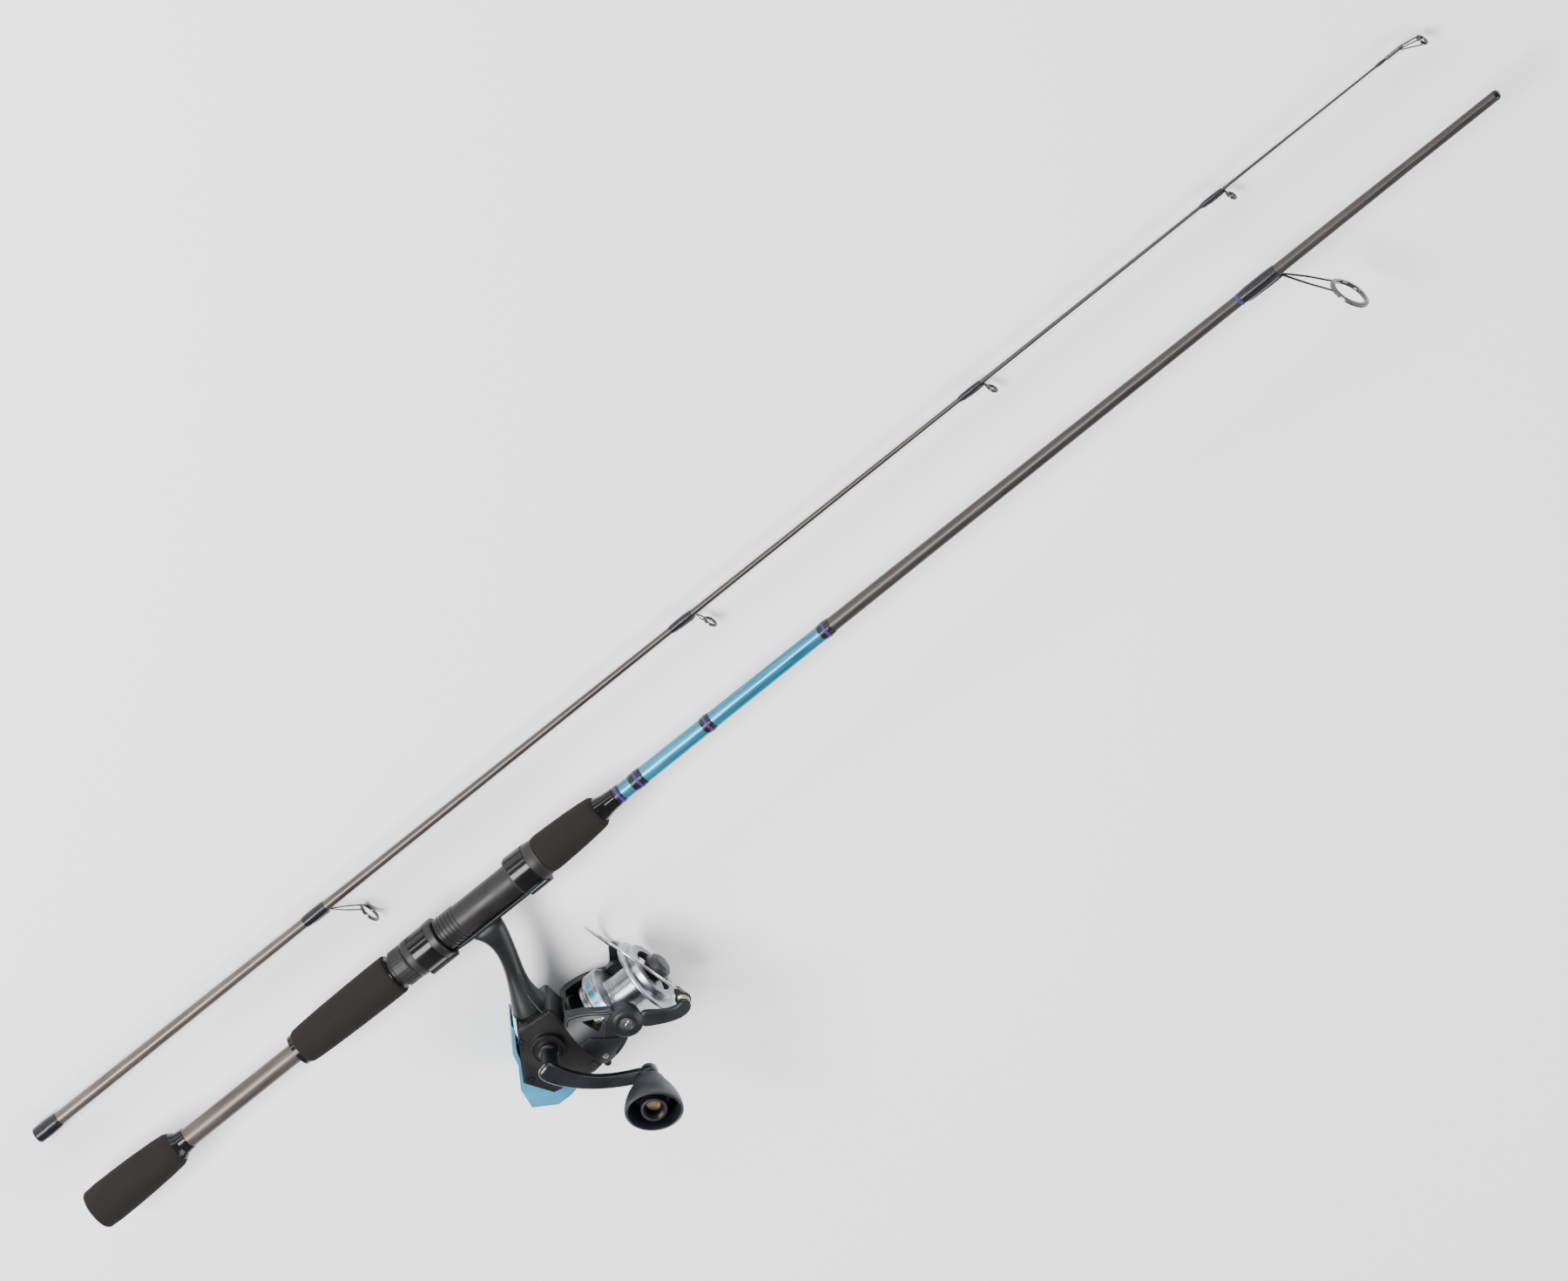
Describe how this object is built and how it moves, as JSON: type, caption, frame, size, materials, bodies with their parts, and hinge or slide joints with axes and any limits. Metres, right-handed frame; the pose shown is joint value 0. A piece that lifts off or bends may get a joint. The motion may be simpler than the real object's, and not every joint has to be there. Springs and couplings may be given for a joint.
{
  "type": "spinning rod and reel",
  "caption": "Two-piece spinning rod laid side by side with a small fixed-spool reel clamped in its seat: crank, geared rotor, folding bail, spool with drag, and line guides.",
  "frame": {"origin": "centre of the butt section's flat rear face, on the rod's axis", "axes": "+X along the butt section towards its front end, +Z along the crank's axis towards the knob, and the reel hangs towards -Y"},
  "size_m": [0.939, 0.1744, 0.102],
  "materials": {
    "graphite_blank": "satin",
    "foam_grip": "matte",
    "seat_plastic": "satin",
    "gloss_black": "gloss",
    "blue_lacquer": "gloss",
    "indigo_thread": "gloss",
    "guide_metal": "gloss",
    "ring_ceramic": "gloss",
    "reel_plastic": "satin",
    "blue_plastic": "satin",
    "crank_black": "satin",
    "knob_black": "satin",
    "spool_aluminium": "machined",
    "bright_steel": "polished",
    "brass": "machined",
    "felt": "matte"
  },
  "bodies": {
    "root": {"butt_blank": "graphite_blank", "spigot_plug": "gloss_black", "rear_grip": "foam_grip", "rear_grip_check": "gloss_black", "middle_grip": "foam_grip", "middle_grip_rings": "gloss_black", "seat_body": "seat_plastic", "seat_front_band": "gloss_black", "fore_grip": "foam_grip", "fore_grip_check": "gloss_black", "blue_sleeve": "blue_lacquer", "butt_wraps": "gloss_black", "trim_bands": "indigo_thread", "butt_guide_frame": "guide_metal", "butt_guide_ring": "ring_ceramic", "reel_body": "reel_plastic", "side_cover": "reel_plastic", "rear_cover": "blue_plastic", "side_cap": "reel_plastic", "body_screws": "bright_steel", "crank_bearings": "bright_steel", "pinion_bearing": "bright_steel", "one_way_clutch": "bright_steel", "slider_guide_rod": "bright_steel"},
    "hood": {"sliding_hood": "seat_plastic", "hood_band": "gloss_black"},
    "nut": {"lock_nut": "seat_plastic"},
    "tip_section": {"tip_blank": "graphite_blank", "ferrule_wrap": "gloss_black", "tip_guide_frames": "guide_metal", "tip_guide_rings": "ring_ceramic", "tip_wraps": "gloss_black", "tip_top_frame": "guide_metal", "tip_top_ring": "ring_ceramic"},
    "lever": {"anti_reverse_lever": "reel_plastic"},
    "crank": {"handle_arm": "crank_black", "drive_gear": "brass", "knob_spindle": "brass"},
    "crank_knob": {"knob": "knob_black"},
    "oscillator": {"oscillation_gear": "brass"},
    "rotor": {"rotor": "reel_plastic", "rotor_nut": "brass", "pinion": "brass", "arm_cover": "reel_plastic"},
    "bail": {"bail_arm": "reel_plastic", "bail_cap": "knob_black", "bail_wire": "bright_steel", "far_bail_arm": "reel_plastic", "bail_screws": "bright_steel", "roller_pin": "bright_steel"},
    "roller": {"line_roller": "brass"},
    "shaft": {"main_shaft": "bright_steel", "slider_block": "brass"},
    "spool": {"spool": "spool_aluminium", "spool_rim": "spool_aluminium", "drag_washers": "felt"},
    "drag": {"drag_knob": "knob_black", "drag_spring": "bright_steel"}
  },
  "joints": [
    {"name": "hood_slide", "type": "slide", "parent": "root", "child": "hood", "axis": [1, 0, 0], "range_m": [-0.002, 0]},
    {"name": "nut_turn", "type": "hinge", "parent": "hood", "child": "nut", "pos_m": [0.2095, 0, 0], "axis": [1, 0, 0], "range_deg": [-328, 0]},
    {"name": "tip_lift", "type": "slide", "parent": "root", "child": "tip_section", "axis": [0, 0, 1], "range_m": [0, 0.1]},
    {"name": "lever_turn", "type": "hinge", "parent": "root", "child": "lever", "pos_m": [0.2455, -0.1086, 0], "axis": [0, 0, 1], "range_deg": [-35, 0]},
    {"name": "crank_spin", "type": "hinge", "parent": "root", "child": "crank", "pos_m": [0.2335, -0.0795, 0], "axis": [0, 0, 1], "continuous": true},
    {"name": "knob_spin", "type": "hinge", "parent": "crank", "child": "crank_knob", "pos_m": [0.269, -0.1141, 0.05], "axis": [0, 0, 1], "continuous": true},
    {"name": "oscillator_spin", "type": "hinge", "parent": "root", "child": "oscillator", "pos_m": [0.22586, -0.0873, 0], "axis": [0, 0, 1], "continuous": true},
    {"name": "rotor_spin", "type": "hinge", "parent": "root", "child": "rotor", "pos_m": [0.262, -0.0895, 0], "axis": [1, 0, 0], "continuous": true},
    {"name": "bail_open", "type": "hinge", "parent": "rotor", "child": "bail", "pos_m": [0.2764, -0.0895, 0], "axis": [0, 0, -1], "range_deg": [0, 100]},
    {"name": "roller_spin", "type": "hinge", "parent": "bail", "child": "roller", "pos_m": [0.3033, -0.103, 0.0214], "axis": [0, 0, 1], "continuous": true},
    {"name": "spool_oscillate", "type": "slide", "parent": "root", "child": "shaft", "axis": [1, 0, 0], "range_m": [-0.006, 0]},
    {"name": "spool_spin", "type": "hinge", "parent": "shaft", "child": "spool", "pos_m": [0.28, -0.0895, 0], "axis": [1, 0, 0], "continuous": true},
    {"name": "drag_turn", "type": "hinge", "parent": "shaft", "child": "drag", "pos_m": [0.3, -0.0895, 0], "axis": [1, 0, 0], "range_deg": [-270, 270]}
  ],
  "couplings": [
    {"joint": "nut_turn", "follows": "hood_slide", "rad_per_m": 2856},
    {"joint": "oscillator_spin", "follows": "crank_spin", "ratio": -0.5},
    {"joint": "rotor_spin", "follows": "crank_spin", "ratio": -4}
  ]
}
